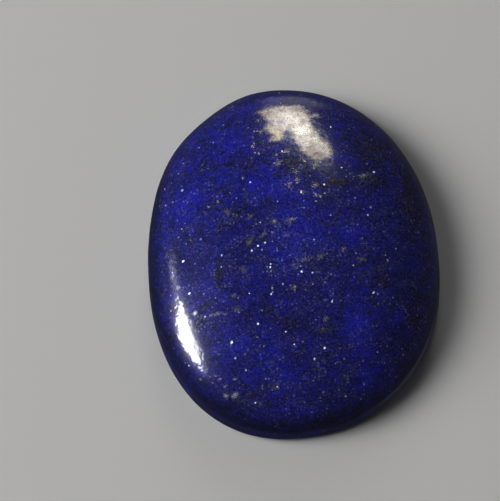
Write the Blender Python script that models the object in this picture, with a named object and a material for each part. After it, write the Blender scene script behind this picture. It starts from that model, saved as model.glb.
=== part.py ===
"""Polished oval lapis lazuli cabochon, lying on its flat back.

One solid piece of stone: a low dome over a narrow band, the girdle, with a ground
bevel under it and a flat back. Metres, +Z up. +Y is the long way of the oval, and
the origin is the middle of the flat back, which is what the stone rests on.
"""
import math

import bmesh
import bpy

LENGTH = 0.0250                     # long way of the oval, at its widest line
WIDTH = 0.0199                      # short way of the oval
THICKNESS = 0.0060                  # from the flat back to the top of the dome

OVAL_POWER = 2.18                   # 2 is an ellipse, and more is fuller at the four shoulders
EGG = -0.027                        # the +Y end is narrower by this share of the width
LEAN = -0.050                       # the +X side is shorter by this share of the length
FLAT_AT = math.radians(118.0)       # the cutter's one flat is on the -X shoulder of the +Y end
FLAT_REACH = math.radians(16.0)     # it fades out over this angle to each side
FLAT_DEPTH = 0.00032                # and takes this much off the outline

BEVEL = 0.00045                     # the ground edge under the girdle, as deep as it is wide
GIRDLE_HEIGHT = 0.00110             # the band between the bevel and the dome
GIRDLE_TAPER = math.radians(6.0)    # the band leans in towards the dome

DOME_POWER = 2.3                    # 2 is an elliptical dome, and more has a fuller shoulder
DOME_SWEEP = math.radians(81.0)     # the part of its quarter turn that the dome goes through

STEPS_ROUND = 84                    # faces round the oval
DOME_RINGS = 22                     # bands of faces from the top of the dome to the girdle
GIRDLE_RINGS = 2
BEVEL_RINGS = 1
BACK_RINGS = 2


def remove_everything():
    for thing in list(bpy.data.objects):
        bpy.data.objects.remove(thing, do_unlink=True)


def lapis_material():
    """Deep ultramarine, polished to a gloss."""
    lapis = bpy.data.materials.new("polished_lapis")
    lapis.use_nodes = True
    shader = lapis.node_tree.nodes["Principled BSDF"]
    shader.inputs["Base Color"].default_value = (0.008, 0.009, 0.140, 1.0)
    shader.inputs["Metallic"].default_value = 0.0
    shader.inputs["Roughness"].default_value = 0.16
    return lapis


def rounded_power(value, power):
    """The value raised to 2 / power with its sign kept, as a superellipse needs."""
    return math.copysign(abs(value) ** (2.0 / power), value)


def cut_by_flat(across, along):
    """What the flat leaves of the outline in this direction, as a share of it."""
    direction = math.atan2(LENGTH * along, WIDTH * across)
    beside = (direction - FLAT_AT) / FLAT_REACH
    mean_radius = (LENGTH + WIDTH) / 4
    return 1.0 - FLAT_DEPTH / mean_radius * math.exp(-beside * beside)


def on_oval(around, share, inset):
    """A point at an angle round the oval, at a share of the way out, inset from the edge."""
    across = rounded_power(math.cos(around), OVAL_POWER)
    along = rounded_power(math.sin(around), OVAL_POWER)
    out = share * cut_by_flat(across, along)
    x = out * (WIDTH / 2 - inset) * across * (1.0 + EGG * along * share)
    y = out * (LENGTH / 2 - inset) * along * (1.0 + LEAN * across * share)
    return x, y


def section():
    """The stone's section, from the top of the dome to the middle of the back.

    Each entry is one ring: its share of the way out, its inset and its height.
    """
    girdle_foot = BEVEL
    girdle_top = girdle_foot + GIRDLE_HEIGHT
    girdle_lean = GIRDLE_HEIGHT * math.tan(GIRDLE_TAPER)
    dome_height = THICKNESS - girdle_top
    widest = rounded_power(math.sin(DOME_SWEEP), DOME_POWER)
    lowest = rounded_power(math.cos(DOME_SWEEP), DOME_POWER)

    rings = []
    for step in range(DOME_RINGS + 1):
        turn = DOME_SWEEP * step / DOME_RINGS
        share = rounded_power(math.sin(turn), DOME_POWER) / widest
        rise = (rounded_power(math.cos(turn), DOME_POWER) - lowest) / (1.0 - lowest)
        rings.append((share, girdle_lean, girdle_top + dome_height * rise))
    for step in range(1, GIRDLE_RINGS + 1):
        down = step / GIRDLE_RINGS
        rings.append((1.0, girdle_lean * (1.0 - down), girdle_top - GIRDLE_HEIGHT * down))
    for step in range(1, BEVEL_RINGS + 1):
        down = step / BEVEL_RINGS
        rings.append((1.0, BEVEL * down, girdle_foot * (1.0 - down)))
    for step in range(1, BACK_RINGS + 1):
        rings.append((1.0 - step / BACK_RINGS, BEVEL, 0.0))
    return rings


def cabochon():
    """A sphere's rings, moved one by one onto the stone's section and oval."""
    rings = section()
    bands = len(rings) - 1
    stone = bmesh.new()
    bmesh.ops.create_uvsphere(stone, u_segments=STEPS_ROUND, v_segments=bands, radius=1.0)
    for corner in stone.verts:
        down = math.acos(max(-1.0, min(1.0, corner.co.z))) / math.pi
        share, inset, height = rings[round(down * bands)]
        around = math.atan2(corner.co.y, corner.co.x)
        x, y = on_oval(around, share, inset)
        corner.co = (x, y, height)

    # the egg and the lean pull the oval a hair off centre, so its box is centred again
    middle_x = (max(c.co.x for c in stone.verts) + min(c.co.x for c in stone.verts)) / 2
    middle_y = (max(c.co.y for c in stone.verts) + min(c.co.y for c in stone.verts)) / 2
    bmesh.ops.translate(stone, verts=stone.verts, vec=(-middle_x, -middle_y, 0.0))

    mesh = bpy.data.meshes.new("lapis_cabochon")
    stone.to_mesh(mesh)
    stone.free()
    mesh.shade_smooth()
    mesh.set_sharp_from_angle(angle=math.radians(30.0))
    return mesh


remove_everything()
collection = bpy.data.collections.new("lapis_lazuli")
bpy.context.scene.collection.children.link(collection)
lapis_cabochon = bpy.data.objects.new("lapis_cabochon", cabochon())
lapis_cabochon.data.materials.append(lapis_material())
collection.objects.link(lapis_cabochon)
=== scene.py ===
import math
from collections import namedtuple

import bmesh
import bpy
import numpy as np
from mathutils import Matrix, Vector, noise


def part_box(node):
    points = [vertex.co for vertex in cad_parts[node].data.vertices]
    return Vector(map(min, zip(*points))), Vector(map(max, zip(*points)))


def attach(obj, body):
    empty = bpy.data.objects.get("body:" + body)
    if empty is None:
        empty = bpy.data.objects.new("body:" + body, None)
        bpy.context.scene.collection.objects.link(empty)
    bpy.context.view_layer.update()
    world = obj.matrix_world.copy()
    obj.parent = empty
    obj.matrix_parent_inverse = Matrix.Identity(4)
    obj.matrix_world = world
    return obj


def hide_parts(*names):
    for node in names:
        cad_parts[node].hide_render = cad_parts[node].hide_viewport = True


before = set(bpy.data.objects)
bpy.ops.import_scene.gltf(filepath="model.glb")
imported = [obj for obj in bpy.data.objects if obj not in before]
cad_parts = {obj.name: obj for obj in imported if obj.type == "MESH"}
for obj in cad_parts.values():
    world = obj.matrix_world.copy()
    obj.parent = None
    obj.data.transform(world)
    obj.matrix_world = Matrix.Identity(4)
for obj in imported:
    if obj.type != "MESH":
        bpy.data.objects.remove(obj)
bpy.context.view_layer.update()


# The stone. One piece of lapis lazuli, sawn to an oval, ground by hand to a low dome over a
# narrow girdle with a bevel under it, and polished. The back is ground flat and left duller.
MM = 0.001
stone_low, stone_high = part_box("lapis_cabochon")
stone_width = stone_high.x - stone_low.x
stone_length = stone_high.y - stone_low.y
stone_thickness = stone_high.z - stone_low.z
mean_radius = (stone_length + stone_width) / 4

oval_power = 2.18                       # 2 is an ellipse, and more is fuller at the shoulders
egg = -0.027                            # the +Y end is narrower by this share
lean = -0.050                           # the +X side is shorter by this share
flat_at = math.radians(118.0)           # the cutter's one flat, on the -X shoulder of the +Y end
flat_reach = math.radians(16.0)
flat_depth = 0.32 * MM
bevel = 0.45 * MM
girdle_height = 1.10 * MM
girdle_taper = math.radians(6.0)
dome_power = 2.3                        # how full the dome's section is
dome_sweep = math.radians(81.0)         # how much of that curve's quarter turn the dome takes
dome_steps = 600
section_step = 0.01 * MM
edge_softness = 0.07 * MM               # how far the polish has rounded every edge


def round_edges(values, mirrored):
    """The section's values with its edges rounded. The section is carried on past both its ends,
    mirrored or turned over, so that the rounding leaves the ends where they are."""
    reach = int(3 * edge_softness / section_step)
    weight = np.exp(-0.5 * (np.arange(-reach, reach + 1) * section_step / edge_softness) ** 2)
    weight /= weight.sum()
    before = mirrored * values[reach:0:-1]
    after = mirrored * values[-2:-reach - 2:-1]
    return np.convolve(np.concatenate((before, values, after)), weight, "valid")


def ground_section():
    """The section from the top of the dome to the middle of the back, as arrays of the way along
    it, the share of the way out and the height, at even steps along it."""
    girdle_top = bevel + girdle_height
    lean_in = girdle_height * math.tan(girdle_taper)
    turn = np.linspace(0.0, dome_sweep, dome_steps)
    widest = math.sin(dome_sweep) ** (2 / dome_power)
    lowest = math.cos(dome_sweep) ** (2 / dome_power)
    out = (mean_radius - lean_in) * np.sin(turn) ** (2 / dome_power) / widest
    rise = (np.cos(turn) ** (2 / dome_power) - lowest) / (1 - lowest)
    high = girdle_top + (stone_thickness - girdle_top) * rise
    out = np.concatenate((out, [mean_radius, mean_radius - bevel, 0.0]))
    high = np.concatenate((high, [bevel, 0.0, 0.0]))
    along = np.concatenate(([0.0], np.cumsum(np.hypot(np.diff(out), np.diff(high)))))
    even = np.arange(0.0, along[-1], section_step)
    out = round_edges(np.interp(even, along, out), -1)
    high = round_edges(np.interp(even, along, high), 1)
    return even, out / mean_radius, high


section_along, section_out, section_high = ground_section()
foot_of_girdle = section_along[np.argmax(section_out)]
top_of_girdle = foot_of_girdle - girdle_height
whole_section = section_along[-1]


def on_stone(along, around):
    """Points on the stone, from their place along the section and their angle round it."""
    share = np.interp(along, section_along, section_out)
    high = np.interp(along, section_along, section_high)
    across = np.sign(np.cos(around)) * np.abs(np.cos(around)) ** (2 / oval_power)
    long_way = np.sign(np.sin(around)) * np.abs(np.sin(around)) ** (2 / oval_power)
    direction = np.arctan2(stone_length * long_way, stone_width * across)
    beside = (direction - flat_at) / flat_reach
    share_cut = share * (1 - flat_depth / mean_radius * np.exp(-beside * beside))
    x = share_cut * stone_width / 2 * across * (1 + egg * long_way * share)
    y = share_cut * stone_length / 2 * long_way * (1 + lean * across * share)
    return np.stack((x, y, high), axis=-1)


face_cells = 240                        # the dome and girdle are a square grid drawn into the oval


def dome_and_girdle(grid):
    """A square grid made round in rings and laid over the dome and the girdle."""
    bmesh.ops.create_grid(grid, x_segments=face_cells, y_segments=face_cells, size=1.0)
    flat = np.array([v.co[:2] for v in grid.verts])
    u, v = flat[:, 0], flat[:, 1]
    out = np.maximum(np.abs(u), np.abs(v))
    wide = np.abs(u) >= np.abs(v)
    around = np.where(wide, np.pi / 4 * v / np.where(wide, np.where(u == 0, 1, u), 1),
                      np.pi / 2 - np.pi / 4 * u / np.where(wide, 1, np.where(v == 0, 1, v)))
    around = np.where(wide & (u < 0), around + np.pi, around)
    around = np.where(~wide & (v < 0), around + np.pi, around)
    in_the_middle = out < 1e-9
    around = np.where(in_the_middle, 0.0, around)
    carried_along = grid.verts.layers.float.new("along")
    carried_around = grid.verts.layers.float.new("around")
    corner_places = on_stone(out * foot_of_girdle, around)
    for corner, place, share, angle in zip(grid.verts, corner_places, out, around):
        corner.co = place
        corner[carried_along] = share * foot_of_girdle
        corner[carried_around] = angle
    return carried_along, carried_around


bevel_run = 1.1 * MM                    # how far along the section the bevel's fine rings go
bevel_rings = 6
back_rings = 3


def bevel_and_back(grid, carried_along, carried_around):
    """Rings of faces from the girdle's foot round the bevel and in to the middle of the back."""
    rim = [e for e in grid.edges if e.is_boundary]
    left = whole_section - foot_of_girdle - bevel_run
    rings = [foot_of_girdle + bevel_run * (ring + 1) / bevel_rings for ring in range(bevel_rings)]
    rings += [rings[-1] + left * (ring + 1) / (back_rings + 1) for ring in range(back_rings)]
    for ring_along in rings:
        new = bmesh.ops.extrude_edge_only(grid, edges=rim)["geom"]
        corners = [g for g in new if isinstance(g, bmesh.types.BMVert)]
        rim = [g for g in new if isinstance(g, bmesh.types.BMEdge) and g.is_boundary]
        angles = np.array([c[carried_around] for c in corners])
        for corner, place in zip(corners, on_stone(np.full(len(corners), ring_along), angles)):
            corner.co = place
            corner[carried_along] = ring_along
    bmesh.ops.contextual_create(grid, geom=rim)


face_patch_at = (0.405, 0.5)            # the middles of the face and the back on the bake sheet
back_patch_at = (0.905, 0.125)
face_patch = (0.40, 0.49)               # half the width and the height that each takes there
back_patch = (0.09, 0.115)


def lay_out_sheet(grid, carried_along, carried_around):
    """The bake sheet: the dome and girdle as one disc, and the bevel and back as a smaller one."""
    sheet = grid.loops.layers.uv.new("OFBake")
    just_past_foot = foot_of_girdle * 1.0001
    for face in grid.faces:
        behind = any(c[carried_along] > just_past_foot for c in face.verts)
        for loop in face.loops:
            loop_along, angle = loop.vert[carried_along], loop.vert[carried_around]
            if behind:
                share = (whole_section - loop_along) / (whole_section - foot_of_girdle)
                loop[sheet].uv = (back_patch_at[0] - share * back_patch[0] * math.cos(angle),
                                  back_patch_at[1] + share * back_patch[1] * math.sin(angle))
            else:
                share = loop_along / foot_of_girdle
                loop[sheet].uv = (face_patch_at[0] + share * face_patch[0] * math.cos(angle),
                                  face_patch_at[1] + share * face_patch[1] * math.sin(angle))


def stone_mesh():
    """The whole stone as one closed mesh with its bake sheet."""
    grid = bmesh.new()
    layers = dome_and_girdle(grid)
    bevel_and_back(grid, *layers)
    bmesh.ops.recalc_face_normals(grid, faces=grid.faces)
    lay_out_sheet(grid, *layers)
    mesh = bpy.data.meshes.new("lapis_stone")
    grid.to_mesh(mesh)
    grid.free()
    mesh.shade_smooth()
    return mesh


wave_height = 0.016 * MM                # the hand polish leaves the dome faintly uneven
wave_length = 3.2 * MM
wave_stop = 1.6 * MM                    # how far above the girdle's foot the waves stop
wave_fade = 1.5 * MM
girdle_unevenness = 0.020 * MM
girdle_wave_length = 1.4 * MM
girdle_reach = 0.7 * MM


def hand_waves(corners, along):
    """What the cutter's hand leaves: low waves over the dome, and a girdle that isn't quite even."""
    moved = corners.copy()
    on_dome = np.clip((foot_of_girdle - wave_stop - along) / wave_fade, 0, 1)
    on_girdle = np.exp(-((along - foot_of_girdle + girdle_height / 2) / girdle_reach) ** 2)
    barely_on_girdle = 0.01
    for i, corner in enumerate(corners):
        if on_dome[i] > 0:
            moved[i, 2] += wave_height * on_dome[i] * noise.noise(Vector(corner) / wave_length)
        if on_girdle[i] > barely_on_girdle:
            outward = Vector((corner[0], corner[1], 0)).normalized()
            step = girdle_unevenness * on_girdle[i] * noise.noise(Vector(corner) / girdle_wave_length)
            moved[i, 0] += outward.x * step
            moved[i, 1] += outward.y * step
    return moved


stone = stone_mesh()
places = np.empty(len(stone.vertices) * 3)
stone.vertices.foreach_get("co", places)
places = places.reshape(-1, 3)
along = np.empty(len(stone.vertices))
stone.attributes["along"].data.foreach_get("value", along)
stone.vertices.foreach_set("co", hand_waves(places, along).ravel())
lapis_stone = bpy.data.objects.new("lapis_stone", stone)
bpy.context.scene.collection.objects.link(lapis_stone)
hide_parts("lapis_cabochon")
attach(lapis_stone, "root")


# The blue rock. Navy and royal blue lazurite run into each other in clouds and curds, full of
# fine grains of paler calcite, nearly black pyroxene and olive specks, thickest in the veins. It
# has all grown together as one solid mass, and the saw and the polish cut straight through it.
lapis = bpy.data.materials.new("lapis")
lapis.use_nodes = True
stone.materials.append(lapis)
tree = lapis.node_tree
shader = tree.nodes["Principled BSDF"]


def feed(socket, value):
    """Sets a socket, with a link where the value comes from another node."""
    if isinstance(value, bpy.types.NodeSocket):
        tree.links.new(value, socket)
    else:
        socket.default_value = value


def maths(operation, *values):
    node = tree.nodes.new("ShaderNodeMath")
    node.operation = operation
    for socket, value in zip(node.inputs, values):
        feed(socket, value)
    return node.outputs[0]


def add(first, *others):
    total = first
    for value in others:
        total = maths("ADD", total, value)
    return total


def times(first, *others):
    total = first
    for value in others:
        total = maths("MULTIPLY", total, value)
    return total


def about_middle(cloudy, reach):
    """A cloud's values moved to lie about 0 and stretched by this reach."""
    return times(maths("SUBTRACT", cloudy, 0.5), reach)


def vector_maths(operation, *values):
    node = tree.nodes.new("ShaderNodeVectorMath")
    node.operation = operation
    sockets = (node.inputs[0], node.inputs["Scale"]) if operation == "SCALE" else node.inputs
    for socket, value in zip(sockets, values):
        feed(socket, value)
    return node.outputs[0]


def ease(value, low, high, least=0.0, most=1.0):
    """A value between low and high taken to the least and the most, with soft ends."""
    node = tree.nodes.new("ShaderNodeMapRange")
    node.interpolation_type = "SMOOTHSTEP"
    for name, number in (("Value", value), ("From Min", low), ("From Max", high),
                         ("To Min", least), ("To Max", most)):
        feed(node.inputs[name], number)
    return node.outputs["Result"]


def mix(kind, share, under, over):
    """A share of one number, colour or direction laid over another."""
    node = tree.nodes.new("ShaderNodeMix")
    node.data_type = kind
    feed(node.inputs["Factor"], share)
    feed(node.inputs["A"], under)
    feed(node.inputs["B"], over)
    return node.outputs["Result"]


def blend(share, under, over):
    """One colour laid over another. A colour is red, green and blue, or comes from a node."""
    colours = [c if isinstance(c, bpy.types.NodeSocket) else (*c, 1) for c in (under, over)]
    return mix("RGBA", share, *colours)


def inside_ovals(ovals):
    """How far each of the stone's corners is inside the nearest of some ovals: 1 in the middle,
    0 at the edge. An oval is its middle, in millimetres from the middle of the face with +Y to
    the narrow end, its two half lengths, the turn of the first one in degrees and its strength."""
    far_outside = -9.0
    x = places[:, 0] / MM
    y = places[:, 1] / MM
    inside = np.full(len(places), far_outside)
    for middle_x, middle_y, half_long, half_wide, turn, strength in ovals:
        turn = math.radians(turn)
        long_way = (x - middle_x) * math.cos(turn) + (y - middle_y) * math.sin(turn)
        wide_way = (y - middle_y) * math.cos(turn) - (x - middle_x) * math.sin(turn)
        inside = np.maximum(inside, (1 - np.hypot(long_way / half_long, wide_way / half_wide)) * strength)
    return inside


def carry(name, values):
    """Gives the stone's corners a mask, and reads it in the material by its name."""
    stone.attributes.new(name, "FLOAT", "POINT").data.foreach_set("value", values.astype(np.float32))
    node = tree.nodes.new("ShaderNodeAttribute")
    node.attribute_name = name
    return node.outputs["Fac"]


def grown(name, ovals):
    """A mask of where a mineral grew, full in the middles of its ovals and 0 outside them."""
    return carry(name, np.clip(inside_ovals(ovals), 0, 1))


in_mm = vector_maths("SCALE", tree.nodes.new("ShaderNodeTexCoord").outputs["Object"], 1 / MM)
fold_size = 2.2                         # the rock was folded as it grew, so its bands wander
fold_reach = 1.8
band_turn = math.radians(-24.0)
band_squeeze = 1.3
folds = tree.nodes.new("ShaderNodeTexNoise")
feed(folds.inputs["Vector"], in_mm)
folds.inputs["Scale"].default_value = 1 / fold_size
folds.inputs["Detail"].default_value = 1.0
middle_of_noise = (0.5, 0.5, 0.5)
about_fold = vector_maths("SUBTRACT", folds.outputs["Color"], middle_of_noise)
folded = vector_maths("SCALE", about_fold, fold_reach)
to_banding = tree.nodes.new("ShaderNodeVectorRotate")
to_banding.rotation_type = "Z_AXIS"
to_banding.inputs["Angle"].default_value = band_turn
tree.links.new(vector_maths("ADD", in_mm, folded), to_banding.inputs["Vector"])
in_bands = vector_maths("MULTIPLY", to_banding.outputs["Vector"], (1.0, band_squeeze, 1.0))


def cloud(size, detail=2.0, roughness=0.5, place=in_mm, shift=0.0, stretch=None):
    """Cloudy noise whose lumps are about this many millimetres across. Each cloud has its own
    shift, so that no two are alike, and a stretch packs its lumps closer along an axis."""
    place = vector_maths("ADD", place, (shift, shift * 0.7, shift * 0.3))
    if stretch:
        place = vector_maths("MULTIPLY", place, stretch)
    node = tree.nodes.new("ShaderNodeTexNoise")
    feed(node.inputs["Vector"], place)
    node.inputs["Scale"].default_value = 1 / size
    node.inputs["Detail"].default_value = detail
    node.inputs["Roughness"].default_value = roughness
    return node.outputs["Fac"]


Grains = namedtuple("Grains", "away first second third middle")


def grains(size, shift=0.0):
    """Grains this many millimetres apart: how far each point is from the middle of the nearest
    grain, in millimetres, three chance numbers of that grain's own, and its middle."""
    place = vector_maths("ADD", in_mm, (shift, shift * 0.6, shift * 0.8))
    node = tree.nodes.new("ShaderNodeTexVoronoi")
    feed(node.inputs["Vector"], place)
    node.inputs["Scale"].default_value = 1 / size
    chances = tree.nodes.new("ShaderNodeSeparateColor")
    tree.links.new(node.outputs["Color"], chances.inputs["Color"])
    return Grains(times(node.outputs["Distance"], size), *chances.outputs, node.outputs["Position"])


grain_edge = 0.025                      # how soft a grain's edge is, in millimetres


def grain_shape(away, radius, edge=grain_edge):
    """Full inside a grain of this radius, and 0 outside it."""
    return ease(maths("SUBTRACT", away, radius), edge, -edge)


royal_places = grown("royal_blue", (
    (-1.8, 3.9, 1.9, 1.5, 20, 1.0), (-6.6, 3.4, 1.6, 2.2, -10, 0.9), (-4.0, 7.5, 1.6, 1.5, 0, 0.8),
    (-1.1, -1.3, 1.4, 0.9, 20, 0.8), (3.4, -0.1, 2.0, 1.3, 10, 0.9), (3.6, -6.0, 1.5, 1.1, 0, 1.1),
    (-0.9, -8.4, 2.0, 1.2, 0, 0.15), (5.1, -9.6, 1.7, 1.5, 30, 0.6), (6.7, -5.9, 1.2, 1.2, 0, 0.7),
    (7.9, -1.9, 1.0, 1.4, 0, 0.6), (-4.6, -7.4, 1.6, 1.3, 0, 0.7), (-3.2, -3.4, 1.2, 0.9, 0, 0.5),
    (2.9, 7.6, 0.9, 0.7, 0, 0.6), (3.4, 5.6, 1.0, 0.7, 0, 0.7), (0.3, -0.4, 3.4, 2.8, 0, 1.0),
))
navy = (0.0070, 0.0088, 0.112)
royal = (0.0095, 0.0125, 0.450)
big_clouds = cloud(size=4.0, detail=2, shift=3.1)
curds = cloud(size=1.0, detail=5, roughness=0.60, place=in_bands, shift=11.0)
crumbs = cloud(size=0.32, detail=3, roughness=0.6, place=in_bands, shift=12.0)
how_royal = add(times(royal_places, 0.65), about_middle(big_clouds, 1.3),
                about_middle(curds, 2.0), about_middle(crumbs, 1.7))
colour = blend(ease(how_royal, -0.35, 0.85), navy, royal)

bright_lazurite = (0.024, 0.028, 0.42)
dark_lazurite = (0.005, 0.005, 0.040)
lazurite = grains(size=0.17, shift=5.0)
colour = blend(ease(lazurite.first, 0.50, 1.0, most=0.30), colour, bright_lazurite)
colour = blend(ease(lazurite.second, 0.50, 1.0, most=0.50), colour, dark_lazurite)

dark_veins = grown("dark_rock", (
    (5.6, 6.6, 2.6, 3.4, 40, 0.9), (8.0, 2.6, 1.4, 4.5, 0, 0.9), (-5.2, -2.2, 1.7, 0.45, 88, 1.0),
    (5.6, -3.4, 1.8, 2.4, 0, 0.6), (-3.5, -10.6, 2.6, 1.4, -15, 0.7), (3.1, 3.8, 1.9, 0.55, 5, 1.0),
    (5.6, 3.9, 1.8, 0.8, -10, 0.9), (0.6, 0.1, 2.2, 0.6, 25, 0.3), (-0.8, -6.0, 2.3, 0.7, -18, 0.8),
    (7.6, -5.0, 1.6, 3.5, -10, 0.6), (-3.8, 1.6, 1.3, 0.7, 35, 0.8), (4.9, 7.6, 2.6, 1.2, -30, 0.7),
    (1.8, -10.6, 3.0, 1.0, 5, 0.4), (-2.2, -4.9, 1.3, 0.5, 70, 0.7), (1.4, -6.6, 1.4, 0.6, 0, 0.7),
    (0.2, 5.4, 2.3, 1.8, 0, 0.8), (-1.7, 7.9, 1.0, 1.8, 20, 0.5), (-1.9, 10.0, 0.7, 0.9, 0, 0.6),
    (0.4, -2.1, 1.9, 0.5, 12, 0.5), (-6.9, 0.3, 1.3, 0.5, -70, 0.7), (-2.6, 5.0, 1.8, 0.6, -10, 0.4),
))
pyroxene = (0.0060, 0.0062, 0.018)
olive = (0.050, 0.045, 0.028)
vein_pull = add(times(dark_veins, 0.24), -0.06)
dark_lumps = cloud(size=0.36, detail=4, roughness=0.7, place=in_bands, shift=31.0)
colour = blend(ease(add(dark_lumps, vein_pull), 0.50, 0.66, most=0.88), colour, pyroxene)
olive_lumps = cloud(size=0.20, detail=3, roughness=0.75, place=in_bands, shift=41.0)
colour = blend(ease(add(olive_lumps, vein_pull), 0.58, 0.74, most=0.60), colour, olive)

thread_places = grown("olive_threads", (
    (-0.25, 1.08, 0.70, 0.20, 8, 1.0), (-0.28, 0.85, 0.30, 0.18, 75, 0.8),
    (-1.28, 1.05, 0.26, 0.20, 40, 1.0), (-0.96, 0.78, 0.22, 0.18, 0, 0.8),
    (-0.54, 0.04, 0.34, 0.22, -35, 0.9), (-2.08, 0.18, 0.40, 0.17, 38, 0.9),
    (-2.79, 0.04, 0.28, 0.18, 60, 0.8), (-3.06, -0.30, 0.30, 0.36, 0, 0.9),
    (0.5, -1.78, 0.75, 0.20, 12, 0.8), (-0.13, -2.19, 0.38, 0.26, -30, 0.7),
    (-0.30, -3.63, 0.32, 0.24, 0, 0.8), (-4.30, -3.86, 0.30, 0.22, 10, 0.9),
    (-4.15, -4.82, 0.34, 0.26, -30, 0.8), (-5.50, -4.93, 0.50, 0.17, 4, 0.9),
    (3.21, -1.11, 0.26, 0.20, 0, 0.8), (1.66, -1.59, 0.32, 0.26, 0, 0.7),
    (4.36, -1.82, 0.50, 0.26, -10, 0.6), (1.70, -5.83, 0.32, 0.20, 30, 0.9),
    (1.50, -6.58, 0.36, 0.18, 0, 0.7), (-1.87, -9.94, 0.32, 0.24, 20, 0.7),
    (5.0, 4.25, 0.70, 0.26, 15, 0.7), (-4.33, 2.06, 0.40, 0.36, 0, 0.6),
    (-2.87, 1.51, 0.40, 0.22, 30, 0.7), (-3.55, -2.10, 0.40, 0.26, -50, 0.6),
))
thread_gold = (0.215, 0.200, 0.120)
thread_crumbs = cloud(size=0.13, detail=3, roughness=0.8, place=in_bands, shift=42.0)
thread = ease(add(thread_places, about_middle(thread_crumbs, 3.4)), 0.10, 0.95, most=0.85)
colour = blend(times(thread, ease(thread_places, 0.0, 0.12)), colour, thread_gold)

# Partly painted sheen: the veil beside the hard highlight, about (-6.6, -4.6), stands in for that
# highlight's soft glow; elsewhere the veil is real pale calcite.
calcite_and_glow_places = grown("pale_calcite_and_glow", (
    (0.4, 8.2, 3.0, 3.4, 0, 0.9), (0.3, 4.9, 2.2, 2.6, 0, 1.1), (-1.7, 7.4, 1.2, 1.9, 20, 0.6),
    (2.4, 4.1, 2.2, 0.8, 10, 0.5), (-1.6, 1.4, 1.5, 0.5, 50, 0.6), (0.5, 2.0, 2.4, 0.7, 5, 0.4),
    (-6.6, -4.6, 1.2, 2.4, 5, 0.5), (0.2, -1.0, 3.6, 3.0, 5, 0.9), (0.5, 10.8, 2.4, 0.8, 0, 0.8),
))
pyrite_grain_places = grown("pyrite_grains", (
    (-0.5, 6.4, 1.6, 1.6, 0, 1.0), (0.6, 4.2, 1.4, 2.2, 0, 1.0), (-1.9, 7.6, 1.1, 1.8, 15, 0.9),
    (-1.5, 1.3, 1.2, 0.35, 55, 0.8), (-0.2, 2.0, 0.9, 0.3, 5, 0.9), (3.3, 4.2, 2.2, 0.6, 12, 0.5),
    (0.6, -1.8, 1.8, 0.5, 8, 0.6), (1.7, 3.4, 1.2, 1.2, 0, 0.7), (-4.9, 2.9, 1.6, 1.0, 30, 0.3),
))
calcite_veil_and_glow = (0.52, 0.53, 0.74)
calcite_powder = (0.58, 0.60, 0.78)
between_powder = (0.002, 0.002, 0.018)
calcite_dots = (0.42, 0.46, 0.88)
calcite_lumps = cloud(size=1.1, detail=3, roughness=0.6, place=in_bands, shift=20.0)
calcite_clumps = ease(calcite_lumps, 0.42, 0.66)
calcite_and_glow_share = add(0.045, times(calcite_clumps, 0.13), times(calcite_and_glow_places, 0.14))
calcite_crumbs = cloud(size=0.15, detail=3, roughness=0.85, place=in_bands, shift=21.0)
veil = ease(calcite_crumbs, 0.46, 0.72)
colour = blend(times(veil, calcite_and_glow_share), colour, calcite_veil_and_glow)
powder = cloud(size=0.085, detail=1, roughness=0.6, shift=23.0)
powder_share = add(0.085, times(pyrite_grain_places, 0.16))
colour = blend(times(ease(powder, 0.55, 0.78), powder_share), colour, calcite_powder)
colour = blend(ease(powder, 0.45, 0.25, most=0.60), colour, between_powder)
dots = grains(size=0.21, shift=51.0)
smallest_dot = 0.028                    # the radius of the smallest and how much the largest adds
largest_dot_adds = 0.05
dot = grain_shape(dots.away, add(smallest_dot, times(dots.second, largest_dot_adds)), edge=0.03)
dot_share = times(calcite_and_glow_share, 2.0)
colour = blend(times(dot, ease(dots.first, 0.45, 1.0), dot_share), colour, calcite_dots)

# Partly painted highlight: the pale specks on and beside the hard highlight and along its tail, near the
# -X edge, stand in for the glare breaking up there; the rest are real pale calcite specks.
speck_and_sheen_places = grown("pale_specks_and_sheen", (
    (-4.56, -10.10, 0.42, 0.26, 10, 0.9), (-5.16, -10.06, 0.36, 0.24, -30, 0.9),
    (-4.50, -9.18, 0.22, 0.16, 0, 0.7), (-5.49, -9.02, 0.24, 0.18, 0, 0.8),
    (-5.15, -9.49, 0.20, 0.14, 30, 0.7), (-5.35, -4.92, 0.34, 0.20, 0, 0.5),
    (-6.90, -4.58, 0.22, 0.26, 0, 1.3), (-6.78, -5.25, 0.16, 0.22, 0, 0.7),
    (-6.72, -5.80, 0.12, 0.30, 0, 0.6), (-8.55, -0.20, 0.30, 0.45, 20, 0.45),
    (-8.35, -1.05, 0.26, 0.40, 10, 0.55), (-8.25, -1.70, 0.22, 0.30, 0, 0.9),
    (-7.95, -2.62, 0.26, 0.24, 0, 1.1), (-7.60, -2.75, 0.24, 0.12, 20, 0.7),
    (-6.40, -8.35, 0.30, 0.14, 60, 0.7), (-6.05, -8.70, 0.24, 0.14, 30, 0.6),
    (-4.9, -5.02, 0.20, 0.14, 0, 0.6), (-5.85, -4.95, 0.26, 0.16, 0, 0.8),
    (-1.28, 1.05, 0.20, 0.16, 40, 0.9), (0.10, 1.16, 0.26, 0.14, 20, 0.8),
    (2.20, -4.30, 0.20, 0.14, 0, 0.6), (-3.57, 10.70, 0.22, 0.18, 0, 0.5),
))
pale_speck_and_sheen = (0.72, 0.72, 0.88)
speck_and_sheen = ease(add(speck_and_sheen_places, about_middle(thread_crumbs, 2.6)), 0.25, 1.0, most=0.65)
colour = blend(times(speck_and_sheen, ease(speck_and_sheen_places, 0.0, 0.12)), colour, pale_speck_and_sheen)


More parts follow.
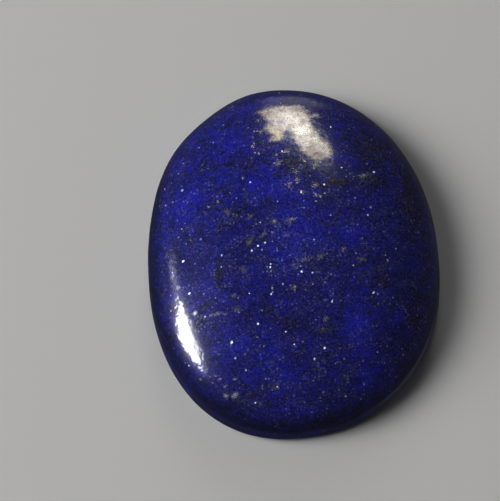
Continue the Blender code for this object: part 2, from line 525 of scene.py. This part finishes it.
# The pyrite. One ragged mass of it near the narrow end, silvery gold where it takes the light,
# with grains scattered below it and a few threads of them across the face. It grew in the rock
# and is cut flush with it, and a faint violet edge of mixed grains runs round the mass.
mass_places = carry("pyrite_mass", inside_ovals((
    (0.15, 9.35, 1.75, 0.85, -4, 1.0), (-0.72, 8.15, 0.62, 0.80, 70, 1.0),
    (0.80, 8.55, 1.04, 1.08, 0, 1.15), (1.26, 7.30, 1.18, 0.93, -55, 1.1),
    (1.88, 6.32, 1.04, 0.90, -20, 1.1), (-0.68, 7.42, 0.50, 0.34, 0, 0.7),
)))
violet = (0.34, 0.30, 0.40)
violet_crumbs = cloud(size=0.22, detail=3, roughness=0.7, shift=22.0)
violet_grains = ease(violet_crumbs, 0.35, 0.65, most=0.13)
colour = blend(times(ease(mass_places, -0.60, 0.05), violet_grains), colour, violet)

large_rags = about_middle(cloud(size=0.8, detail=4, roughness=0.6, shift=61.0), 1.1)
small_rags = about_middle(cloud(size=0.17, detail=2, shift=62.0), 0.55)
gaps = cloud(size=0.20, detail=3, roughness=0.7, shift=63.0)
mass = times(ease(add(mass_places, add(large_rags, small_rags)), -0.20, 0.36),
             ease(gaps, 0.28, 0.52, least=0.62))
beside_mass = maths("SUBTRACT", 1.0, mass)

cluster_places = grown("pyrite_clusters", (
    (-0.09, 6.23, 0.36, 0.30, 20, 1.1), (-0.76, 5.34, 0.40, 0.30, 0, 0.8),
    (0.44, 4.64, 0.34, 0.26, 30, 0.9), (0.40, 3.96, 0.32, 0.30, 60, 0.8),
    (1.79, 5.12, 0.50, 0.34, 20, 1.0), (1.61, 3.53, 0.34, 0.26, 0, 0.8),
    (1.63, 2.79, 0.30, 0.22, 40, 0.9), (0.70, 3.05, 0.32, 0.24, -30, 0.8),
    (-0.13, 3.66, 0.34, 0.24, 20, 0.7), (-2.35, 6.93, 0.28, 0.36, 0, 0.7),
    (-1.89, 8.91, 0.26, 0.22, 0, 0.7), (2.06, 10.48, 0.30, 0.22, 0, 0.8),
    (-1.10, 7.20, 0.40, 0.30, 30, 0.9), (-0.30, 7.15, 0.34, 0.26, 0, 0.8),
    (-1.75, 7.95, 0.36, 0.26, 40, 0.7), (0.90, 5.55, 0.40, 0.24, 0, 0.6),
    (-0.10, 1.16, 0.40, 0.12, 12, 0.7), (-1.28, 1.05, 0.20, 0.14, 40, 0.7),
    (4.90, 4.25, 0.45, 0.16, 15, 0.6), (3.21, -1.11, 0.22, 0.16, 0, 0.6),
    (1.70, -5.83, 0.24, 0.14, 30, 0.6),
))
flecks = grains(size=0.30, shift=71.0)
fleck_edge = about_middle(cloud(size=0.11, detail=2, shift=72.0), 0.26)
smallest_fleck = 0.005                  # the radius of the smallest and how much the largest adds
largest_fleck_adds = 0.080
fleck_radius = add(smallest_fleck, times(flecks.second, largest_fleck_adds))
fleck_chance = add(0.010, times(pyrite_grain_places, 0.45))
single_fleck = times(grain_shape(add(flecks.away, fleck_edge), fleck_radius),
                     maths("LESS_THAN", flecks.first, fleck_chance))
fine_grains = cloud(size=0.10, detail=2, roughness=0.7, shift=73.0)
cluster = times(ease(add(cluster_places, about_middle(fine_grains, 3.6)), 0.45, 0.95),
                ease(cluster_places, 0.0, 0.10))
fleck = maths("MAXIMUM", single_fleck, cluster)
pyrite = maths("MAXIMUM", mass, times(fleck, 0.9))

# Painted highlight: where the strip's reflection falls on the pyrite, its colour is painted paler and
# brighter; its finish there is also smoother.
pyrite_sheen_and_polish_places = grown("pyrite_sheen", (
    (0.97, 7.85, 0.75, 0.60, 0, 1.0), (1.87, 7.11, 0.30, 0.22, 30, 0.9),
    (0.35, 8.90, 0.85, 0.45, -20, 0.35), (2.75, 6.20, 0.40, 0.80, 20, 0.5),
))
rusty_places = grown("rusty_pyrite", (
    (1.75, 5.85, 0.70, 0.36, 20, 1.0), (1.62, 9.35, 0.30, 0.65, 10, 0.9),
    (-1.20, 9.60, 0.45, 0.75, 0, 0.8), (2.55, 5.60, 0.36, 0.30, 0, 0.6), (0.55, 6.60, 0.34, 0.40, 0, 0.6),
))
golden_places = grown("golden_pyrite", (
    (-0.72, 7.80, 0.50, 0.32, -15, 1.0), (-0.44, 9.20, 0.28, 0.20, 0, 0.8),
    (-1.20, 9.80, 0.40, 0.25, 30, 0.8), (1.95, 7.05, 0.45, 0.35, 40, 0.7),
    (-0.09, 6.23, 0.35, 0.30, 30, 0.8), (-0.76, 5.34, 0.35, 0.30, 0, 0.7),
))
pitted_pyrite = (0.56, 0.46, 0.41)
silver_pyrite = (0.96, 0.87, 0.77)
pyrite_sheen = (1.0, 0.96, 0.78)
rusty_pyrite = (0.34, 0.20, 0.17)
golden_pyrite = (1.0, 0.90, 0.55)
fleck_gold = (0.92, 0.86, 0.55)
mottling = ease(cloud(size=0.50, detail=3, roughness=0.7, shift=81.0), 0.38, 0.60)
pyrite_colour = blend(mottling, pitted_pyrite, silver_pyrite)
pyrite_colour = blend(pyrite_sheen_and_polish_places, pyrite_colour, pyrite_sheen)
rust = ease(add(rusty_places, about_middle(fine_grains, 2.2)), 0.30, 0.80, most=0.75)
pyrite_colour = blend(times(rust, ease(rusty_places, 0, 0.2)), pyrite_colour, rusty_pyrite)
gold = ease(add(golden_places, about_middle(gaps, 1.2)), 0.25, 0.55)
pyrite_colour = blend(gold, pyrite_colour, golden_pyrite)
pyrite_colour = blend(times(flecks.third, beside_mass), pyrite_colour, fleck_gold)
colour = blend(pyrite, colour, pyrite_colour)


# The sparkle. Tiny crystal faces just under the polish, each grown its own way. Most are dim blue
# specks, and the few that face the light flash blue-white; the brighter ones are also painted pale
# blue-white, a painted glint.
sparkling_places = grown("sparkling", (
    (0.0, -3.0, 7.0, 4.5, 0, 1.0), (-5.5, -1.0, 3.5, 4.5, 0, 1.0), (-3.0, 2.5, 4.5, 2.5, 20, 0.9),
    (5.5, -4.5, 3.5, 4.5, 0, 0.6), (0.5, -9.0, 5.5, 3.0, 0, 0.45), (2.5, 3.0, 4.0, 2.5, 0, 0.5),
))
glints = grains(size=0.25, shift=91.0)
smallest_glint = 0.034                  # the radius of the smallest and how much the largest adds
largest_glint_adds = 0.036
glint_radius = add(smallest_glint, times(glints.second, largest_glint_adds))
glint_chance = add(0.06, times(sparkling_places, 0.28))
glint = times(grain_shape(glints.away, glint_radius), maths("LESS_THAN", glints.first, glint_chance),
              beside_mass)
# Painted glints: the brighter of these crystals are coloured pale blue-white, which shows as a flash
# under any light; their faces also really turn, and some catch the light below.
dim_glint = (0.12, 0.15, 0.72)
painted_glint_pale = (0.62, 0.74, 1.0)
colour = blend(times(glint, 0.9), colour, blend(maths("POWER", glints.third, 2.2), dim_glint, painted_glint_pale))

# Painted glints: each of these spots is coloured pale blue-white, standing in for a flash of light, and
# its face is also turned so that it throws the highlight card's light towards the camera.
bright_glint_spread = 0.125             # each bright glint fades out this many millimetres away
bright_glints = (                       # their places in millimetres, and how bright each one is
    (-4.6, -6.9, 1.4), (-7.5, -0.9, 1.2), (-2.8, -5.9, 1.0), (2.2, -4.7, 1.0), (1.5, -7.7, 1.1),
    (-7.2, -3.2, 1.1), (5.7, 4.6, 1.1), (-2.0, 6.2, 1.0), (0.8, -8.4, 1.0), (-4.4, -7.9, 0.9),
    (-2.9, -0.9, 0.9), (-4.9, -1.0, 0.9), (-1.8, -4.0, 0.9), (5.0, -4.1, 1.0), (-7.3, 4.3, 1.0),
    (-6.9, -4.6, 1.1),
)
bright_glint_places = grown("bright_glints", [
    (x, y, bright_glint_spread, bright_glint_spread, 0, strength) for x, y, strength in bright_glints
])
painted_glint_colour = (0.50, 0.66, 1.0)
bright_glint = ease(bright_glint_places, 0.16, 0.62)
colour = blend(bright_glint, colour, painted_glint_colour)

glint_tilt = 1.6                        # how far a crystal face can lie off the polished surface
fleck_tilt = 0.7
facing_the_light = (-0.586, -0.268, 0.765)      # the way that the few flashing ones lie
surface = tree.nodes.new("ShaderNodeNewGeometry").outputs["Normal"]


def own_facets(crystals, tilt):
    """The way that each crystal's face lies, which is its own and the same all over it."""
    chance = tree.nodes.new("ShaderNodeTexWhiteNoise")
    tree.links.new(crystals.middle, chance.inputs["Vector"])
    own_way = vector_maths("SUBTRACT", chance.outputs["Color"], middle_of_noise)
    return vector_maths("NORMALIZE", vector_maths("ADD", surface, vector_maths("SCALE", own_way, tilt)))


glint_shine = 0.35                      # how much of the light each kind throws back as metal does
pyrite_shine = 0.88
least_flash = 0.004
most_flash = 0.055
brightest_flash = 0.078
facing = times(glint, ease(glints.third, 0.76, 0.80))
facing_metal = add(least_flash, times(maths("POWER", glints.second, 3.0), most_flash))
glint_metal = times(glint, mix("FLOAT", facing, glint_shine, facing_metal))
bright_glint_metal = times(maths("POWER", bright_glint_places, 2.0), brightest_flash)
pyrite_metal = times(pyrite, pyrite_shine)
feed(shader.inputs["Metallic"],
     maths("MAXIMUM", maths("MAXIMUM", pyrite_metal, glint_metal), bright_glint_metal))


# The finish. The dome is polished to a high gloss, with the fine pits and orange peel that hard
# and soft grains leave. The girdle is only sanded round and the back is only ground flat. Painted
# shade darkens the rim, and a painted pale reflection runs along the girdle's edge at one place.
back_fade = 0.8 * MM
back = carry("back", np.clip((along - foot_of_girdle) / back_fade, 0, 1))
rim_reach = 1.6 * MM                    # how far up the dome the girdle's duller finish runs out
rim = carry("rim", np.clip((along - top_of_girdle + rim_reach) / rim_reach, 0, 1))
dulled = maths("MAXIMUM", ease(rim, 0.35, 1.0), back)
# Painted shade: from the last stretch of the dome down over the girdle and the back, the colour is
# darkened towards deep navy, unevenly with the curds, standing in for the shade round the stone's edge.
rim_shade_navy = (0.004, 0.004, 0.050)
sanding_pale = (0.45, 0.44, 0.47)
round_streaks = cloud(size=0.30, detail=3, roughness=0.7, shift=101.0, stretch=(0.35, 0.35, 5.0))
rim_shade_share = times(ease(rim, 0.0, 1.0), ease(curds, 0.35, 0.65, least=0.70, most=0.45))
colour = blend(rim_shade_share, colour, rim_shade_navy)
sanding_share = times(rim, rim, ease(round_streaks, 0.52, 0.75, most=0.10))
colour = blend(sanding_share, colour, sanding_pale)

# Painted shade: a band of the dome just above the girdle, round the -X side and the -Y end, is darkened
# to nearly black, standing in for the shade that falls there.
dark_from = 125                         # the rim's darkest part, in degrees round the face
dark_to = 315
dark_fade = 35
dark_rim_start = 2.1 * MM               # how far up the dome from the girdle it starts
dark_rim_rise = 1.3 * MM
dark_rim_stop = 0.10 * MM               # and how near the girdle it stops
dark_rim_fall = 0.30 * MM
around_face = np.degrees(np.arctan2(places[:, 1], places[:, 0])) % 360
dark_side = np.clip((around_face - dark_from) / dark_fade, 0, 1)
dark_side *= np.clip((dark_to - around_face) / dark_fade, 0, 1)
above_girdle = 1 - np.clip((along - top_of_girdle + dark_rim_stop) / dark_rim_fall, 0, 1)
dark_band = np.clip((along - top_of_girdle + dark_rim_start) / dark_rim_rise, 0, 1) * above_girdle
painted_shade_rim = carry("painted_shade_rim", dark_side * dark_band)
nearly_black = (0.002, 0.002, 0.020)
painted_shade_share = times(painted_shade_rim, ease(crumbs, 0.35, 0.65, least=0.85, most=0.50))
colour = blend(painted_shade_share, colour, nearly_black)

# Painted reflection: a pale line along the girdle's top edge on the lower right, broken into scratch-like
# streaks, stands in for the light that edge throws back.
rim_sheen_at = math.radians(-46.0)           # where the painted pale reflection on the girdle lies, as an angle round the face
rim_sheen_reach = math.radians(22.0)
rim_sheen_line = 0.13 * MM                   # how far the pale line along the girdle's edge fades out
rim_sheen_start = 0.15 * MM
rim_sheen_rise = 0.30 * MM
beside_rim_sheen = (np.arctan2(places[:, 1], places[:, 0]) - rim_sheen_at) / rim_sheen_reach
rim_sheen_edge = np.exp(-((along - top_of_girdle) / rim_sheen_line) ** 2)
rim_sheen_girdle = np.clip((along - top_of_girdle + rim_sheen_start) / rim_sheen_rise, 0, 1)
rim_sheen = carry("rim_sheen", np.exp(-beside_rim_sheen ** 4) * np.clip(0.5 * rim_sheen_girdle + rim_sheen_edge, 0, 1))
rim_sheen_pale = (0.50, 0.49, 0.52)
scratch_lines = cloud(size=0.14, detail=3, roughness=0.7, shift=103.0, stretch=(0.25, 0.25, 2.6))
scratches = ease(scratch_lines, 0.60, 0.72)
rim_sheen_share = times(rim_sheen, add(times(rim_sheen, 0.34), times(scratches, 0.60)))
colour = blend(rim_sheen_share, colour, rim_sheen_pale)

ground_pale = (0.45, 0.44, 0.50)
back_streaks = cloud(size=0.30, detail=3, roughness=0.7, shift=102.0, stretch=(0.25, 4.0, 1.0))
colour = blend(times(back, ease(back_streaks, 0.45, 0.75, most=0.12)), colour, ground_pale)
feed(shader.inputs["Base Color"], colour)

rock_matt = 0.23                        # each finish's roughness, from 0 for a mirror
bright_pyrite_matt = 0.10
glint_matt = 0.38
sanded_matt = 0.38
pyrite_matt = mix("FLOAT", pyrite_sheen_and_polish_places, ease(gaps, 0.3, 0.7, least=0.26, most=0.42),
                  bright_pyrite_matt)
matt = mix("FLOAT", pyrite, rock_matt, pyrite_matt)
matt = mix("FLOAT", glint, matt, glint_matt)
matt = mix("FLOAT", dulled, matt, sanded_matt)
feed(shader.inputs["Roughness"], matt)
polished_coat = 1.0                     # how much of the polish's clear gloss each finish has
sanded_coat = 0.30
ground_coat = 0.12
polish = mix("FLOAT", back, mix("FLOAT", dulled, polished_coat, sanded_coat), ground_coat)
feed(shader.inputs["Coat Weight"], polish)
shader.inputs["Specular IOR Level"].default_value = 0.35
shader.inputs["Coat Roughness"].default_value = 0.045
shader.inputs["Coat IOR"].default_value = 1.45


def relief(depth, height):
    """The surface's normal over a relief this deep."""
    bump = tree.nodes.new("ShaderNodeBump")
    bump.inputs["Strength"].default_value = 1.0
    bump.inputs["Distance"].default_value = depth
    tree.links.new(height, bump.inputs["Height"])
    return bump.outputs["Normal"]


grain_relief = 0.020 * MM               # how deep the softer grains are worn below the hard ones
peel_relief = 0.018 * MM
pyrite_pits = times(pyrite, cloud(size=0.11, detail=3, roughness=0.8, shift=111.0))
normal = relief(grain_relief, add(pyrite_pits, times(curds, 0.3)))
normal = mix("VECTOR", glint, normal, own_facets(glints, glint_tilt))
normal = mix("VECTOR", times(fleck, beside_mass), normal, own_facets(flecks, fleck_tilt))
normal = mix("VECTOR", maths("MAXIMUM", bright_glint, facing), normal, facing_the_light)
feed(shader.inputs["Normal"], vector_maths("NORMALIZE", normal))
orange_peel = cloud(size=0.34, detail=1, roughness=0.4, shift=121.0)
feed(shader.inputs["Coat Normal"], relief(peel_relief, orange_peel))


# The table. A plain pale sheet, laid flat under the stone. The polish doesn't mirror it, so the
# stone's lower edge stays dark.
table_half_width = 1.5
table_pale = (0.76, 0.75, 0.74, 1)
table_matt = 0.9
table_mesh = bpy.data.meshes.new("table")
sheet = bmesh.new()
bmesh.ops.create_grid(sheet, x_segments=1, y_segments=1, size=table_half_width)
sheet.to_mesh(table_mesh)
sheet.free()
table = bpy.data.objects.new("table", table_mesh)
bpy.context.scene.collection.objects.link(table)
table_finish = bpy.data.materials.new("table")
table_finish.use_nodes = True
table_face = table_finish.node_tree.nodes["Principled BSDF"]
table_face.inputs["Base Color"].default_value = table_pale
table_face.inputs["Roughness"].default_value = table_matt
table_mesh.materials.append(table_finish)
table.visible_glossy = False


# The paper behind the table. A pale sheet bent into a ring round it, which glows evenly by itself
# and only fills the background: it lights nothing and nothing mirrors it.
paper_radius = 0.75
paper_height = 2.0
paper_glow = (0.36, 0.36, 0.37, 1)
paper_mesh = bpy.data.meshes.new("paper")
ring = bmesh.new()
bmesh.ops.create_cone(ring, segments=96, radius1=paper_radius, radius2=paper_radius, depth=paper_height)
ring.to_mesh(paper_mesh)
ring.free()
paper = bpy.data.objects.new("paper", paper_mesh)
bpy.context.scene.collection.objects.link(paper)
paper_finish = bpy.data.materials.new("paper")
paper_finish.use_nodes = True
paper_face = paper_finish.node_tree.nodes["Principled BSDF"]
paper_face.inputs["Base Color"].default_value = (0.0, 0.0, 0.0, 1)
paper_face.inputs["Emission Color"].default_value = paper_glow
paper_face.inputs["Emission Strength"].default_value = 1.0
paper_mesh.materials.append(paper_finish)
paper.visible_diffuse = False
paper.visible_glossy = False
paper.visible_transmission = False
paper.visible_shadow = False


# The camera. It looks down on the face of the stone from its -Y side, a little to the left, with a
# long lens.
camera_azimuth = math.radians(-3.4)
camera_elevation = math.radians(70.0)
camera_distance = 190.9 * MM
aim_right = -2.96 * MM
aim_up = 1.00 * MM
to_right = Vector((math.cos(camera_azimuth), math.sin(camera_azimuth), 0))
to_camera = Vector((math.sin(camera_azimuth) * math.cos(camera_elevation),
                    -math.cos(camera_azimuth) * math.cos(camera_elevation),
                    math.sin(camera_elevation)))
to_up = to_camera.cross(to_right)
aim = to_right * aim_right + to_up * aim_up
lens = bpy.data.cameras.new("camera")
lens.lens = 200
lens.sensor_width = 36
lens.clip_start = 10 * MM
lens.clip_end = 10000 * MM
camera = bpy.data.objects.new("camera", lens)
camera.location = aim + to_camera * camera_distance
camera.rotation_euler = to_camera.to_track_quat("Z", "Y").to_euler()
bpy.context.scene.collection.objects.link(camera)
bpy.context.scene.camera = camera


# The lights. A bright card low on the left makes the hard highlight, and a dim one its tail. A
# soft strip behind the narrow end lights the pyrite, and a wide soft light overhead from the left
# lights the colours. Each is a flat card of light, turned to face the stone.
lights_aim = Vector((0, 0, 3 * MM))


def light_from(name, azimuth, elevation, distance, wide, tall, radiance, turn=0.0):
    """A card of light this far from the stone and facing it. Its angles are in degrees and its
    sizes in metres."""
    azimuth, elevation = math.radians(azimuth), math.radians(elevation)
    direction = Vector((math.cos(azimuth) * math.cos(elevation), math.sin(azimuth) * math.cos(elevation),
                        math.sin(elevation)))
    lamp = bpy.data.lights.new(name, "AREA")
    lamp.shape = "RECTANGLE"
    lamp.size = wide
    lamp.size_y = tall
    lamp.energy = radiance * math.pi * wide * tall
    card = bpy.data.objects.new(name, lamp)
    card.location = lights_aim + direction * distance
    card.rotation_euler = direction.to_track_quat("Z", "Y").to_euler()
    card.rotation_euler.rotate_axis("Z", math.radians(turn))
    bpy.context.scene.collection.objects.link(card)
    return card


def fade(card, measure, dark_at, full_at):
    """Fades a card by where on it the light leaves. The measure DISTANCE is from its middle, and
    DOT_PRODUCT is up its slant, from 0 at one corner to 1 at the opposite one."""
    card.data.use_nodes = True
    nodes = card.data.node_tree
    place = nodes.nodes.new("ShaderNodeNewGeometry")
    measured = nodes.nodes.new("ShaderNodeVectorMath")
    measured.operation = measure
    measured.inputs[1].default_value = (0.5, 0.5, 0.0)
    nodes.links.new(place.outputs["Parametric"], measured.inputs[0])
    brightness = nodes.nodes.new("ShaderNodeMapRange")
    brightness.interpolation_type = "SMOOTHSTEP"
    brightness.inputs["From Min"].default_value = dark_at
    brightness.inputs["From Max"].default_value = full_at
    nodes.links.new(measured.outputs["Value"], brightness.inputs["Value"])
    nodes.links.new(brightness.outputs["Result"], nodes.nodes["Emission"].inputs["Strength"])


highlight = light_from("highlight", azimuth=187.5, elevation=18.5, distance=0.30,
                       wide=0.124, tall=0.111, radiance=22.0, turn=35)
fade(highlight, "DOT_PRODUCT", dark_at=0.88, full_at=0.62)
highlight.visible_diffuse = False
tail = light_from("tail", azimuth=165, elevation=15, distance=0.40,
                  wide=0.080, tall=0.15, radiance=2.2, turn=-25)
tail.visible_diffuse = False
strip = light_from("strip", azimuth=83, elevation=29, distance=0.40,
                   wide=0.130, tall=0.43, radiance=4.1, turn=26)
daylight = light_from("daylight", azimuth=178, elevation=42, distance=0.50,
                      wide=0.50, tall=0.50, radiance=8.5)
daylight.visible_glossy = False
for soft_card in (tail, strip, daylight):
    fade(soft_card, "DISTANCE", dark_at=0.5, full_at=0.05)


# The backdrop. A dim grey studio all round, with one pale patch low beyond the narrow end, which
# the polish there mirrors as a faint sheen.
patch_way = (0.10, 0.99, -0.07)
patch_edge, patch_middle = 0.965, 0.998
studio_dim = 0.035
patch_bright = 0.48
studio_colour = (0.95, 0.95, 1.0, 1)
world = bpy.data.worlds.new("studio")
world.use_nodes = True
studio = world.node_tree
towards_patch = studio.nodes.new("ShaderNodeVectorMath")
towards_patch.operation = "DOT_PRODUCT"
towards_patch.inputs[1].default_value = patch_way
studio.links.new(studio.nodes.new("ShaderNodeTexCoord").outputs["Generated"], towards_patch.inputs[0])
brightness = studio.nodes.new("ShaderNodeMapRange")
brightness.interpolation_type = "SMOOTHSTEP"
for name, number in (("From Min", patch_edge), ("From Max", patch_middle),
                     ("To Min", studio_dim), ("To Max", patch_bright)):
    brightness.inputs[name].default_value = number
studio.links.new(towards_patch.outputs["Value"], brightness.inputs["Value"])
studio.links.new(brightness.outputs["Result"], studio.nodes["Background"].inputs["Strength"])
studio.nodes["Background"].inputs["Color"].default_value = studio_colour
bpy.context.scene.world = world
bpy.context.scene.view_settings.view_transform = "Standard"
